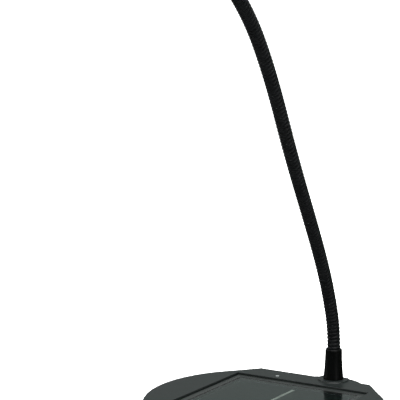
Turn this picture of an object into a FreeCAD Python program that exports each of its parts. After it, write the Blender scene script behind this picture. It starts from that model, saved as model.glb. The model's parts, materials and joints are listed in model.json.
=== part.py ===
import FreeCAD, Part
import math
import os

# Desktop microphone stand: a weighted round base with a square back shoulder, a two-cell
# charging panel let into its top, and a ribbed gooseneck that stands in a tapered collar.
# Millimetres. +Z is up, +Y is the back of the base, where the neck stands.
# The origin is on the table, under the middle of the round base.

# ---- base outline, seen from above
BASE_RADIUS = 78.0
BACK_EDGE_INSET = 6.7        # the straight back edge lies this far inside the circle's top
BACK_HALF_WIDTH = 42.0       # half the length of the straight back edge
SHOULDER_HALF_WIDTH = 55.5   # where the slanted shoulders meet the circle
LOBE_RADIUS = 27.2           # bulge of the back edge around the neck
LOBE_RISE = 6.5              # how far the bulge stands behind the back edge
LOBE_OFFSET = 2.7            # the bulge's middle, to the right of the neck
EDGE_CHAMFER = 0.8

# ---- base, from the table up
FOOT_STAND = 2.0
COVER_THICKNESS = 2.5
BALLAST_THICKNESS = 5.0
BATTERY_THICKNESS = 5.5
BATTERY_CLEARANCE = 0.8
TRAY_THICKNESS = 2.0
RECESS_DEPTH = 4.2
WALL = 2.5
TOP_THICKNESS = 2.5
COVER_GAP = 0.2
BALLAST_GAP = 0.3

# ---- charging panel in the recess of the top
RECESS_CORNER_MARGIN = 6.3   # from a corner of the recess to the round edge
RECESS_CORNER_ANGLE = 46.35  # of that corner, from the X axis
BEZEL_GAP = 0.8              # dark groove round the bezel
BEZEL_WIDTH = 4.4
BEZEL_LIP = 0.3              # the bezel stands this far above the glass
SEAL_WIDTH = 0.8
BACKING_THICKNESS = 1.0
CELL_THICKNESS = 0.4
GLASS_THICKNESS = 1.2
CELL_END_MARGIN = 1.2        # bare backing round the cells
RIBBON_WIDTH = 2.3           # bright strip between the two cells
SIDE_RIBBON_WIDTH = 0.9
RIBBON_END_MARGIN = 5.4      # the strips stop short of the panel's ends

# ---- inside the base
BATTERY_SIZE = (56.0, 36.0)
BATTERY_CENTRE = (-20.0, -12.0)
BOARD_SIZE = (34.0, 26.0)
BOARD_CENTRE = (28.0, 20.0)
BOARD_THICKNESS = 1.2
SPACER_HEIGHT = 1.5
SPACER_HALF = 2.0
SPACER_INSET = 3.5
CHIP_HEIGHT = 1.4

# ---- feet, screws and indicator
FOOT_RADIUS = 7.5
FOOT_CIRCLE = 60.0
SCREW_RADIUS = 1.4
SCREW_LENGTH = 9.0
SCREW_END_ROOM = 1.0
SCREW_HEAD_RADIUS = 2.8
SCREW_HEAD_HEIGHT = 1.1
SCREW_CLEARANCE = 0.2
SCREW_BOSS_RADIUS = 3.5
SCREW_BOSS_GAP = 0.6
BACK_SCREW_INSET = 4.0       # the back screws, inside the ends of the back edge
LENS_RADIUS = 1.2
LENS_FLANGE = 0.8
LENS_CENTRE_X = -21.8
LENS_EDGE_INSET = 13.3       # from the back edge
LENS_DROP = 1.0

# ---- neck foot
NECK_X = 15.2
NECK_EDGE_INSET = 1.9        # the neck's axis, inside the straight back edge
PAD_RADIUS = 10.5
PAD_HEIGHT = 0.8
PAD_EDGE_MARGIN = 0.8
NECK_BOSS_RADIUS = 7.5
COLLAR_FOOT_WALL = 2.35      # the collar outside the neck, at its foot
COLLAR_TOP_WALL = 1.15
COLLAR_HEIGHT = 20.7
COLLAR_WAIST = 0.25          # how far the collar's side is drawn in from a straight taper
COLLAR_EDGE = 0.8
NECK_CLEARANCE = 0.15
CUP_HEIGHT = 9.0
CUP_WALL = 0.7
CUP_FLOOR = 1.5
CUP_CLEARANCE = 0.1
SHANK_RADIUS = 4.0
SHANK_CLEARANCE = 0.1
NECK_SCREW_RADIUS = 2.5
NECK_SCREW_GRIP = 9.0        # thread length in the ferrule's shank
NECK_SCREW_END_ROOM = 0.5
NECK_SCREW_HEAD_RADIUS = 4.1
NECK_SCREW_HEAD_HEIGHT = 2.6
WASHER_RADIUS = 4.3
WASHER_THICKNESS = 0.6
COUNTERBORE_CLEARANCE = 0.3
SHANK_LIFT = 0.5             # the ferrule's shank stops this far above the ballast

# ---- gooseneck: links that turn on pivots, from the collar to the tip
NECK_RADIUS = 4.5
RIB_DEPTH = 0.35
RING_SIDES = 10              # ribs, crimps and small hardware are many-sided, which keeps them light
ROUND_SIDES = 24             # feet and tip, where more of the edge shows
LINK_LENGTH = 26.0
RIBS_PER_LINK = 10           # one rib for each turn of the coil
BEND_LIMIT = 25.0            # most that two links may tilt against each other, in degrees
PIVOT_GAP = 0.3
# Lean of each link towards the front, in degrees from upright: the first stands in the
# collar and the last carries the tip. Both are half as long as the others.
LINK_LEANS = (0.0, 18.0, 25.0, 29.5, 31.0, 31.0, 29.0, 28.0, 31.0, 36.0, 46.0, 55.0, 62.0)

# ---- tip
TIP_WALL = 1.7
TIP_LENGTH = 20.0
TIP_SOCKET = 8.0
PLUG_CLEARANCE = 0.05        # round the neck's end in the tip's socket
TIP_CHAMFER = 0.6
STUD_RADIUS = 4.76           # 3/8 inch stud
STUD_LENGTH = 9.0
THREAD_RADIUS = 7.94         # 5/8 inch microphone thread
THREAD_LENGTH = 12.0
SHOULDER_RADIUS = 9.5
SHOULDER_LENGTH = 3.0

# ---- levels and places worked out from the values above
COVER_TOP = FOOT_STAND + COVER_THICKNESS
BALLAST_TOP = COVER_TOP + BALLAST_THICKNESS
TRAY_BOTTOM = BALLAST_TOP + BATTERY_THICKNESS + BATTERY_CLEARANCE
RECESS_FLOOR = TRAY_BOTTOM + TRAY_THICKNESS
BASE_TOP = RECESS_FLOOR + RECESS_DEPTH
TOP_UNDERSIDE = BASE_TOP - TOP_THICKNESS
PAD_TOP = BASE_TOP + PAD_HEIGHT
CELL_BOTTOM = RECESS_FLOOR + BACKING_THICKNESS
GLASS_BOTTOM = CELL_BOTTOM + CELL_THICKNESS
GLASS_TOP = GLASS_BOTTOM + GLASS_THICKNESS
BACK_EDGE_Y = BASE_RADIUS - BACK_EDGE_INSET
NECK_Y = BACK_EDGE_Y - NECK_EDGE_INSET
LOBE_X = NECK_X + LOBE_OFFSET
LOBE_Y = BACK_EDGE_Y + LOBE_RISE - LOBE_RADIUS
CORNER_RADIUS = BASE_RADIUS - RECESS_CORNER_MARGIN
RECESS_X = CORNER_RADIUS * math.cos(math.radians(RECESS_CORNER_ANGLE))
RECESS_Y = CORNER_RADIUS * math.sin(math.radians(RECESS_CORNER_ANGLE))
BEZEL_X = RECESS_X - BEZEL_GAP
BEZEL_Y = RECESS_Y - BEZEL_GAP
SEAL_X = BEZEL_X - BEZEL_WIDTH
SEAL_Y = BEZEL_Y - BEZEL_WIDTH
PANEL_X = SEAL_X - SEAL_WIDTH
PANEL_Y = SEAL_Y - SEAL_WIDTH
TRAY_X = RECESS_X + TRAY_THICKNESS
TRAY_Y = RECESS_Y + TRAY_THICKNESS
LENS_Y = BACK_EDGE_Y - LENS_EDGE_INSET
COUNTERBORE_RADIUS = WASHER_RADIUS + COUNTERBORE_CLEARANCE
COUNTERBORE_DEPTH = NECK_SCREW_HEAD_HEIGHT + WASHER_THICKNESS + COUNTERBORE_CLEARANCE
SHANK_BOTTOM = BALLAST_TOP + SHANK_LIFT
COLLAR_TOP = PAD_TOP + COLLAR_HEIGHT
CUP_RADIUS = NECK_RADIUS + CUP_WALL
COLLAR_FOOT_RADIUS = NECK_RADIUS + COLLAR_FOOT_WALL
COLLAR_TOP_RADIUS = NECK_RADIUS + COLLAR_TOP_WALL
TIP_RADIUS = NECK_RADIUS + TIP_WALL


def vec(x, y, z=0.0):
    return FreeCAD.Vector(x, y, z)


def block(half_x, half_y, low, high, centre=(0.0, 0.0)):
    """A box, centred on a point of the plan, between two levels."""
    corner = vec(centre[0] - half_x, centre[1] - half_y, low)
    return Part.makeBox(2 * half_x, 2 * half_y, high - low, corner)


def disc(radius, low, high, centre=(0.0, 0.0)):
    """An upright cylinder between two levels."""
    return Part.makeCylinder(radius, high - low, vec(centre[0], centre[1], low))


def turned(profile):
    """A solid of revolution about Z, from (radius, height) points."""
    points = [vec(r, 0, z) for r, z in profile]
    wire = Part.makePolygon(points + points[:1])
    return Part.Face(wire).revolve(vec(0, 0, 0), vec(0, 0, 1), 360)


def many_sided(profile, sides=RING_SIDES):
    """A closed solid of flat faces: a profile of (radius, height) points, turned about Z in steps."""
    turns = [2 * math.pi * k / sides for k in range(sides + 1)]
    faces = []
    for (r0, z0), (r1, z1) in zip(profile, profile[1:] + profile[:1]):
        if r0 == 0 and r1 == 0:
            continue
        for a, b in zip(turns, turns[1:]):
            ring = [vec(r0 * math.cos(a), r0 * math.sin(a), z0),
                    vec(r0 * math.cos(b), r0 * math.sin(b), z0),
                    vec(r1 * math.cos(b), r1 * math.sin(b), z1),
                    vec(r1 * math.cos(a), r1 * math.sin(a), z1)]
            if r0 == 0:
                ring.pop(0)
            elif r1 == 0:
                ring.pop()
            faces.append(Part.Face(Part.makePolygon(ring + ring[:1])))
    solid = Part.Solid(Part.makeShell(faces))
    return solid if solid.Volume > 0 else solid.reversed()


def joined(shapes):
    return shapes[0].fuse(shapes[1:]).removeSplitter() if len(shapes) > 1 else shapes[0]


def outline(inset):
    """The base's plan, moved inwards by inset: circle, slanted shoulders, back edge and bulge."""
    radius = BASE_RADIUS - inset
    back = BACK_EDGE_Y - inset
    kink_y = math.sqrt(BASE_RADIUS ** 2 - SHOULDER_HALF_WIDTH ** 2)
    run = vec(SHOULDER_HALF_WIDTH - BACK_HALF_WIDTH, kink_y - BACK_EDGE_Y).normalize()
    normal = vec(-run.y, run.x)
    reach = normal.dot(vec(BACK_HALF_WIDTH, BACK_EDGE_Y)) - inset
    corner_x = (reach - normal.y * back) / normal.x
    kink = normal * reach - run * math.sqrt(radius ** 2 - reach ** 2)
    lobe_radius = LOBE_RADIUS - inset
    lobe_half = math.sqrt(lobe_radius ** 2 - (back - LOBE_Y) ** 2)
    left_kink = vec(-kink.x, kink.y)
    left_lobe = vec(LOBE_X - lobe_half, back)
    right_lobe = vec(LOBE_X + lobe_half, back)
    edges = [
        Part.Arc(kink, vec(0, -radius), left_kink).toShape(),
        Part.LineSegment(left_kink, vec(-corner_x, back)).toShape(),
        Part.LineSegment(vec(-corner_x, back), left_lobe).toShape(),
        Part.Arc(left_lobe, vec(LOBE_X, LOBE_Y + lobe_radius), right_lobe).toShape(),
        Part.LineSegment(right_lobe, vec(corner_x, back)).toShape(),
        Part.LineSegment(vec(corner_x, back), kink).toShape(),
    ]
    return Part.Wire(edges)


def slab(inset, low, high):
    """A plate of the base's outline between two levels."""
    face = Part.Face(outline(inset))
    face.translate(vec(0, 0, low))
    return face.extrude(vec(0, 0, high - low))


def screw_places():
    """Plan of the cover screws: one in front and two behind."""
    front = -(TRAY_Y + BASE_RADIUS - WALL) / 2
    back = (TRAY_Y + BACK_EDGE_Y - WALL) / 2
    back_x = BACK_HALF_WIDTH - BACK_SCREW_INSET
    return [(0.0, front), (back_x, back), (-back_x, back)]


def foot_places():
    """Plan of the feet: one in the middle and four on a circle."""
    places = [(0.0, 0.0)]
    for k in range(4):
        angle = math.radians(45 + 90 * k)
        places.append((FOOT_CIRCLE * math.cos(angle), FOOT_CIRCLE * math.sin(angle)))
    return places


def neck_place(shape):
    """Moves a shape from the Z axis to the neck's axis."""
    shape.translate(vec(NECK_X, NECK_Y, 0))
    return shape


# ---- base


def make_top_shell():
    body = slab(0, FOOT_STAND, BASE_TOP)
    rim = [e for e in body.Edges if all(abs(v.Z - BASE_TOP) < 1e-6 for v in e.Vertexes)]
    body = body.makeChamfer(EDGE_CHAMFER, rim)
    body = body.cut(slab(WALL, FOOT_STAND - 1, TOP_UNDERSIDE))
    pad = disc(PAD_RADIUS, TOP_UNDERSIDE, PAD_TOP, (NECK_X, NECK_Y))
    pad = pad.common(slab(EDGE_CHAMFER + PAD_EDGE_MARGIN, TOP_UNDERSIDE, PAD_TOP))
    boss = disc(NECK_BOSS_RADIUS, BALLAST_TOP, BASE_TOP, (NECK_X, NECK_Y))
    boss = boss.common(slab(WALL / 2, BALLAST_TOP, TOP_UNDERSIDE))
    added = [body, pad, boss, block(TRAY_X, TRAY_Y, TRAY_BOTTOM, TOP_UNDERSIDE).common(
        slab(WALL / 2, TRAY_BOTTOM, TOP_UNDERSIDE))]
    added += [disc(SCREW_BOSS_RADIUS, COVER_TOP, TOP_UNDERSIDE, p) for p in screw_places()]
    holes = [
        block(RECESS_X, RECESS_Y, RECESS_FLOOR, BASE_TOP + 1),
        disc(SHANK_RADIUS + SHANK_CLEARANCE, BALLAST_TOP - 1, PAD_TOP + 1, (NECK_X, NECK_Y)),
        disc(LENS_RADIUS, TOP_UNDERSIDE - 1, BASE_TOP + 1, (LENS_CENTRE_X, LENS_Y)),
    ]
    hole_top = FOOT_STAND + SCREW_LENGTH + SCREW_END_ROOM
    holes += [disc(SCREW_RADIUS, COVER_TOP - 1, hole_top, p) for p in screw_places()]
    return joined(added).cut(holes)


def make_bottom_cover():
    plate = slab(WALL + COVER_GAP, FOOT_STAND, COVER_TOP)
    hole = SCREW_RADIUS + SCREW_CLEARANCE
    return plate.cut([disc(hole, FOOT_STAND - 1, COVER_TOP + 1, p) for p in screw_places()])


def make_ballast_plate():
    plate = slab(WALL + BALLAST_GAP, COVER_TOP, BALLAST_TOP)
    neck = (NECK_X, NECK_Y)
    clear = SCREW_BOSS_RADIUS + SCREW_BOSS_GAP
    holes = [disc(clear, COVER_TOP - 1, BALLAST_TOP + 1, p) for p in screw_places()]
    holes.append(disc(COUNTERBORE_RADIUS, COVER_TOP - 1, COVER_TOP + COUNTERBORE_DEPTH, neck))
    hole = NECK_SCREW_RADIUS + SCREW_CLEARANCE
    holes.append(disc(hole, COVER_TOP - 1, BALLAST_TOP + 1, neck))
    return plate.cut(holes)


def make_foot_pads():
    feet = []
    for x, y in foot_places():
        foot = many_sided([(0, 0), (FOOT_RADIUS, 0), (FOOT_RADIUS, FOOT_STAND), (0, FOOT_STAND)],
                          ROUND_SIDES)
        foot.translate(vec(x, y, 0))
        feet.append(foot)
    return Part.makeCompound(feet)


def make_cover_screws():
    """Pan heads under the cover, between the feet, with threads up in the shell's bosses."""
    head, tip = FOOT_STAND - SCREW_HEAD_HEIGHT, FOOT_STAND + SCREW_LENGTH
    screws = []
    for x, y in screw_places():
        screw = many_sided([
            (0, head), (SCREW_HEAD_RADIUS, head), (SCREW_HEAD_RADIUS, FOOT_STAND),
            (SCREW_RADIUS, FOOT_STAND), (SCREW_RADIUS, tip), (0, tip)])
        screw.translate(vec(x, y, 0))
        screws.append(screw)
    return Part.makeCompound(screws)


def make_indicator_lens():
    flange = LENS_RADIUS + LENS_FLANGE
    low = TOP_UNDERSIDE - LENS_DROP
    lens = many_sided([(0, low), (flange, low), (flange, TOP_UNDERSIDE),
                       (LENS_RADIUS, TOP_UNDERSIDE), (LENS_RADIUS, BASE_TOP), (0, BASE_TOP)])
    lens.translate(vec(LENS_CENTRE_X, LENS_Y, 0))
    return lens


# ---- charging panel


def make_panel_bezel():
    top = GLASS_TOP + BEZEL_LIP
    frame = block(BEZEL_X, BEZEL_Y, RECESS_FLOOR, top)
    return frame.cut(block(SEAL_X, SEAL_Y, RECESS_FLOOR - 1, top + 1))


def make_panel_seal():
    ring = block(SEAL_X, SEAL_Y, RECESS_FLOOR, GLASS_TOP)
    return ring.cut(block(PANEL_X, PANEL_Y, RECESS_FLOOR - 1, GLASS_TOP + 1))


def make_panel_backing():
    return block(PANEL_X, PANEL_Y, RECESS_FLOOR, CELL_BOTTOM)


def make_solar_cell(side):
    inner = RIBBON_WIDTH / 2
    outer = PANEL_X - CELL_END_MARGIN - SIDE_RIBBON_WIDTH
    half = (outer - inner) / 2
    centre = side * (outer + inner) / 2
    return block(half, PANEL_Y - CELL_END_MARGIN, CELL_BOTTOM, GLASS_BOTTOM, (centre, 0.0))


def make_bus_ribbons():
    half_y = PANEL_Y - RIBBON_END_MARGIN
    side = PANEL_X - CELL_END_MARGIN - SIDE_RIBBON_WIDTH / 2
    strips = [block(RIBBON_WIDTH / 2, half_y, CELL_BOTTOM, GLASS_BOTTOM)]
    for x in (-side, side):
        strips.append(block(SIDE_RIBBON_WIDTH / 2, half_y, CELL_BOTTOM, GLASS_BOTTOM, (x, 0.0)))
    return Part.makeCompound(strips)


def make_panel_glass():
    return block(PANEL_X, PANEL_Y, GLASS_BOTTOM, GLASS_TOP)


# ---- inside the base


def make_battery_pack():
    cell = block(BATTERY_SIZE[0] / 2, BATTERY_SIZE[1] / 2, BALLAST_TOP,
                 BALLAST_TOP + BATTERY_THICKNESS, BATTERY_CENTRE)
    upright = [e for e in cell.Edges if abs(e.Vertexes[0].Z - e.Vertexes[1].Z) > 1]
    return cell.makeChamfer(BATTERY_THICKNESS / 4, upright)


def make_board_spacers():
    low, high = BALLAST_TOP, BALLAST_TOP + SPACER_HEIGHT
    spacers = []
    for sx in (-1, 1):
        for sy in (-1, 1):
            x = BOARD_CENTRE[0] + sx * (BOARD_SIZE[0] / 2 - SPACER_INSET)
            y = BOARD_CENTRE[1] + sy * (BOARD_SIZE[1] / 2 - SPACER_INSET)
            spacers.append(block(SPACER_HALF, SPACER_HALF, low, high, (x, y)))
    return Part.makeCompound(spacers)


def make_charge_board():
    low = BALLAST_TOP + SPACER_HEIGHT
    high = low + BOARD_THICKNESS
    board = block(BOARD_SIZE[0] / 2, BOARD_SIZE[1] / 2, low, high, BOARD_CENTRE)
    x, y = BOARD_CENTRE
    chips = [block(3.5, 3.5, high, high + CHIP_HEIGHT, (x - 6, y + 2)),
             block(2.0, 4.0, high, high + CHIP_HEIGHT, (x + 7, y - 3)),
             block(3.0, 1.5, high, high + CHIP_HEIGHT, (x + 1, y - 8))]
    return joined([board] + chips)


# ---- neck foot


def make_collar():
    """A waisted taper with a bevelled rim, turned from a spline, over the neck and its cup."""
    high = COLLAR_HEIGHT - COLLAR_EDGE
    waist = (COLLAR_FOOT_RADIUS + COLLAR_TOP_RADIUS) / 2 - COLLAR_WAIST
    side = Part.BSplineCurve()
    side.interpolate([vec(COLLAR_FOOT_RADIUS, 0, 0), vec(waist, 0, high / 2),
                      vec(COLLAR_TOP_RADIUS, 0, high)])
    rest = [vec(COLLAR_TOP_RADIUS, 0, high), vec(COLLAR_TOP_RADIUS - COLLAR_EDGE, 0, COLLAR_HEIGHT),
            vec(0, 0, COLLAR_HEIGHT), vec(0, 0, 0), vec(COLLAR_FOOT_RADIUS, 0, 0)]
    profile = Part.Wire([side.toShape()] + Part.makePolygon(rest).Edges)
    body = Part.Face(profile).revolve(vec(0, 0, 0), vec(0, 0, 1), 360)
    cup_room = disc(CUP_RADIUS + CUP_CLEARANCE, -1, CUP_HEIGHT + CUP_CLEARANCE)
    neck_room = disc(NECK_RADIUS + NECK_CLEARANCE, -1, COLLAR_HEIGHT + 1)
    collar = body.cut([cup_room, neck_room])
    collar.translate(vec(0, 0, PAD_TOP))
    return neck_place(collar)


def make_base_ferrule():
    """A crimped cup round the neck's plain end, with a threaded shank down into the base."""
    grip = SHANK_BOTTOM + NECK_SCREW_GRIP
    ferrule = many_sided([
        (NECK_SCREW_RADIUS, SHANK_BOTTOM), (SHANK_RADIUS, SHANK_BOTTOM),
        (SHANK_RADIUS, PAD_TOP), (CUP_RADIUS, PAD_TOP), (CUP_RADIUS, PAD_TOP + CUP_HEIGHT),
        (NECK_RADIUS, PAD_TOP + CUP_HEIGHT), (NECK_RADIUS, PAD_TOP + CUP_FLOOR),
        (0, PAD_TOP + CUP_FLOOR), (0, grip), (NECK_SCREW_RADIUS, grip)])
    return neck_place(ferrule)


def make_neck_washer():
    top = COVER_TOP + COUNTERBORE_DEPTH
    low = top - WASHER_THICKNESS
    hole = NECK_SCREW_RADIUS + SCREW_CLEARANCE
    return neck_place(many_sided([
        (hole, low), (WASHER_RADIUS, low), (WASHER_RADIUS, top), (hole, top)]))


def make_neck_screw():
    seat = COVER_TOP + COUNTERBORE_DEPTH - WASHER_THICKNESS
    low = seat - NECK_SCREW_HEAD_HEIGHT
    tip = SHANK_BOTTOM + NECK_SCREW_GRIP - NECK_SCREW_END_ROOM
    return neck_place(many_sided([
        (0, low), (NECK_SCREW_HEAD_RADIUS, low), (NECK_SCREW_HEAD_RADIUS, seat),
        (NECK_SCREW_RADIUS, seat), (NECK_SCREW_RADIUS, tip), (0, tip)]))


# ---- gooseneck


def pivots():
    """Pivot centres from the first, above the collar, to the last, under the tip."""
    point = vec(NECK_X, NECK_Y, COLLAR_TOP + LINK_LENGTH / 2)
    points = [point]
    for lean in LINK_LEANS[1:-1]:
        angle = math.radians(lean)
        step = vec(0, -math.sin(angle), math.cos(angle))
        points.append(points[-1] + step * LINK_LENGTH)
    return points


def on_link(shape, number):
    """Moves a shape, drawn upright from a link's lower pivot, to its place on the neck."""
    base = pivots()[number - 1]
    shape.rotate(vec(0, 0, 0), vec(1, 0, 0), LINK_LEANS[number])
    shape.translate(base)
    return shape


def ribs(start, count):
    """Profile points of ribs: crests with valleys between them."""
    pitch = LINK_LENGTH / RIBS_PER_LINK
    points = []
    for k in range(count):
        points.append((NECK_RADIUS, start + (k + 0.5) * pitch))
        if k < count - 1:
            points.append((NECK_RADIUS - RIB_DEPTH, start + (k + 1) * pitch))
    return points


def end_point(level, way):
    """Profile point where a link's conical end meets its ribs, way 1 above the pivot or -1."""
    valley = NECK_RADIUS - RIB_DEPTH
    rise = PIVOT_GAP / 2 + valley * math.tan(math.radians(BEND_LIMIT / 2))
    return (valley, level + way * rise)


def make_neck_link():
    """One full link, upright, between pivots at height 0 and LINK_LENGTH."""
    tip = PIVOT_GAP / 2
    return many_sided([(0, tip), end_point(0, 1)] + ribs(0, RIBS_PER_LINK)
                      + [end_point(LINK_LENGTH, -1), (0, LINK_LENGTH - tip)])


def make_first_link():
    """The half link in the collar: a plain end down to the ferrule's cup, then ribs."""
    low = PAD_TOP + CUP_FLOOR
    top = COLLAR_TOP + LINK_LENGTH / 2
    return neck_place(many_sided(
        [(0, low), (NECK_RADIUS, low), (NECK_RADIUS, COLLAR_TOP), (NECK_RADIUS - RIB_DEPTH, COLLAR_TOP)]
        + ribs(COLLAR_TOP, RIBS_PER_LINK // 2) + [end_point(top, -1), (0, top - PIVOT_GAP / 2)]))


def make_last_link():
    """The half link under the tip, with a plain end that is pressed into the tip ferrule."""
    half = LINK_LENGTH / 2
    plug, plug_end = NECK_RADIUS - PLUG_CLEARANCE, half + TIP_SOCKET
    return many_sided([(0, PIVOT_GAP / 2), end_point(0, 1)] + ribs(0, RIBS_PER_LINK // 2)
                      + [(NECK_RADIUS - RIB_DEPTH, half), (plug, half), (plug, plug_end), (0, plug_end)])


# ---- tip


def make_tip_ferrule():
    """A bevelled sleeve round the neck's end, with the stud that the adapter screws onto."""
    low = LINK_LENGTH / 2
    high = low + TIP_LENGTH
    return many_sided([
        (NECK_RADIUS, low), (TIP_RADIUS - TIP_CHAMFER, low), (TIP_RADIUS, low + TIP_CHAMFER),
        (TIP_RADIUS, high - TIP_CHAMFER), (TIP_RADIUS - TIP_CHAMFER, high), (STUD_RADIUS, high),
        (STUD_RADIUS, high + STUD_LENGTH), (0, high + STUD_LENGTH),
        (0, low + TIP_SOCKET), (NECK_RADIUS, low + TIP_SOCKET)], ROUND_SIDES)


def make_thread_adapter():
    """A shouldered ring on the stud, whose outside is the microphone thread at its major size."""
    low = LINK_LENGTH / 2 + TIP_LENGTH
    shoulder = low + SHOULDER_LENGTH
    high = shoulder + THREAD_LENGTH
    return turned([
        (STUD_RADIUS, low), (SHOULDER_RADIUS, low), (SHOULDER_RADIUS, shoulder),
        (THREAD_RADIUS, shoulder), (THREAD_RADIUS, high), (STUD_RADIUS, high)])


def build():
    """Every sub-part by name."""
    parts = {
        "top_shell": make_top_shell(),
        "bottom_cover": make_bottom_cover(),
        "ballast_plate": make_ballast_plate(),
        "foot_pads": make_foot_pads(),
        "cover_screws": make_cover_screws(),
        "indicator_lens": make_indicator_lens(),
        "panel_bezel": make_panel_bezel(),
        "panel_seal": make_panel_seal(),
        "panel_backing": make_panel_backing(),
        "solar_cell_left": make_solar_cell(-1),
        "solar_cell_right": make_solar_cell(1),
        "bus_ribbons": make_bus_ribbons(),
        "panel_glass": make_panel_glass(),
        "battery_pack": make_battery_pack(),
        "board_spacers": make_board_spacers(),
        "charge_board": make_charge_board(),
        "collar": make_collar(),
        "base_ferrule": make_base_ferrule(),
        "neck_washer": make_neck_washer(),
        "neck_screw": make_neck_screw(),
        "neck_link_00": make_first_link(),
    }
    last = len(LINK_LEANS) - 1
    for number in range(1, last):
        parts["neck_link_%02d" % number] = on_link(make_neck_link(), number)
    parts["neck_link_%02d" % last] = on_link(make_last_link(), last)
    parts["tip_ferrule"] = on_link(make_tip_ferrule(), last)
    parts["thread_adapter"] = on_link(make_thread_adapter(), last)
    return parts


os.makedirs("parts", exist_ok=True)
for name, shape in build().items():
    shape.exportStep("parts/%s.step" % name)
    print("%-18s solids %d volume %.1f mm3 valid %s" % (
        name, len(shape.Solids), shape.Volume, shape.isValid()))
for number, point in enumerate(pivots()):
    print("pivot %02d at (%.3f, %.3f, %.3f)" % (number, point.x, point.y, point.z))
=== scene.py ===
import json
import math

import bmesh
import bpy
from bpy.props import FloatProperty, FloatVectorProperty, IntProperty, PointerProperty
from mathutils import Matrix, Vector


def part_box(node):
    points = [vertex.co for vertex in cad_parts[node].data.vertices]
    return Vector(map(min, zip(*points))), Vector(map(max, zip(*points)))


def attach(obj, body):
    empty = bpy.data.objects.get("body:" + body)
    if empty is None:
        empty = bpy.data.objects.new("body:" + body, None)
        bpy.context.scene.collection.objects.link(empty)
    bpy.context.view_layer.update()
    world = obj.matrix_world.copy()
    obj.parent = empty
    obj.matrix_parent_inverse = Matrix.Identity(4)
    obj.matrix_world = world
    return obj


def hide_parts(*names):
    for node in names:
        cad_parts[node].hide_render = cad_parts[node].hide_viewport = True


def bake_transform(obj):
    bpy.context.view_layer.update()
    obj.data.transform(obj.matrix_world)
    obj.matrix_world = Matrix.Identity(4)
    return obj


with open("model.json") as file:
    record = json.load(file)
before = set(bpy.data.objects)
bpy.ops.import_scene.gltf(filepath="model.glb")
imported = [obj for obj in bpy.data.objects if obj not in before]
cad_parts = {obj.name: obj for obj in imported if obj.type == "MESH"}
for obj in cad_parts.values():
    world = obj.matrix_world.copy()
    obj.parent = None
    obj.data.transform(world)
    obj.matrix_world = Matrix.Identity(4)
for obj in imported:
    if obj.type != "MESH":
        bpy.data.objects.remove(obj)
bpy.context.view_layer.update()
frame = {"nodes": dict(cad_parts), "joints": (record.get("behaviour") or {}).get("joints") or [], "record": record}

bl_info = {
    "name": "Desktop microphone stand",
    "version": (1, 0, 0),
    "blender": (4, 5, 0),
    "location": "View3D > Sidebar > Mic stand",
    "description": "Builds the finish of a gooseneck microphone stand round its CAD frame",
    "category": "Object",
}

MM = 0.001
MERGE = 1e-6             # corners nearer than this are one
SAMPLES_PER_TURN = 36    # steps of the coil in one turn
FOOT_RINGS = ((0.35, 0.45), (0.70, 0.80))    # grooves in a foot, as shares of its radius


# ---- places read from the frame


def mount(name):
    return next(m for m in frame["record"]["mounts"] if m["name"] == name)


PIVOTS = [Vector(joint["pos_m"]) for joint in frame["joints"]]
NECK_BODIES = ["base"] + [joint["child"] for joint in frame["joints"]]
HALF_LINK = (PIVOTS[1] - PIVOTS[0]).length / 2
TIP_AXIS = Vector(mount("mic_thread")["axis"])
THREAD_LENGTH = mount("mic_thread")["dims"]["length_mm"] * MM
THREAD_RADIUS = mount("mic_thread")["dims"]["r_mm"] * MM
COLLAR_LOW, COLLAR_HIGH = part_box("collar")
COLLAR_FOOT = Vector((PIVOTS[0].x, PIVOTS[0].y, COLLAR_LOW.z))
NECK_START = Vector((PIVOTS[0].x, PIVOTS[0].y, COLLAR_HIGH.z))
NECK_END = PIVOTS[-1] + TIP_AXIS * HALF_LINK
FOOT_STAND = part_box("bottom_cover")[0].z


def link_middles():
    """Points half way along each link, with the collar's top first and the tip's start last."""
    inner = [(a + b) / 2 for a, b in zip(PIVOTS, PIVOTS[1:])]
    return [NECK_START] + inner + [NECK_END]


def solid_centres(node):
    """Plan centres of the separate solids in a CAD node."""
    bm = bmesh.new()
    bm.from_mesh(frame["nodes"][node].data)
    bmesh.ops.remove_doubles(bm, verts=bm.verts, dist=MERGE)
    centres, left = [], set(bm.verts)
    while left:
        island, edge = set(), {left.pop()}
        while edge:
            vert = edge.pop()
            island.add(vert)
            edge |= {e.other_vert(vert) for e in vert.link_edges} - island
        left -= island
        low = [min(v.co[i] for v in island) for i in (0, 1)]
        high = [max(v.co[i] for v in island) for i in (0, 1)]
        centres.append(Vector(((low[0] + high[0]) / 2, (low[1] + high[1]) / 2, 0)))
    bm.free()
    return centres


def outer_radius(node):
    """Radius of the like round solids in a CAD node, from those on its right-hand side."""
    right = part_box(node)[1].x
    return min(right - centre.x for centre in solid_centres(node) if centre.x > 10 * MM)


# ---- sizes and colours that a user would change


def length(name, description, default):
    return FloatProperty(name=name, description=description, default=default, min=0.0,
                         unit="LENGTH", subtype="DISTANCE", precision=5)


def colour(name, description, default):
    return FloatVectorProperty(name=name, description=description, default=(*default, 1.0),
                               size=4, min=0.0, max=1.0, subtype="COLOR")


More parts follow.
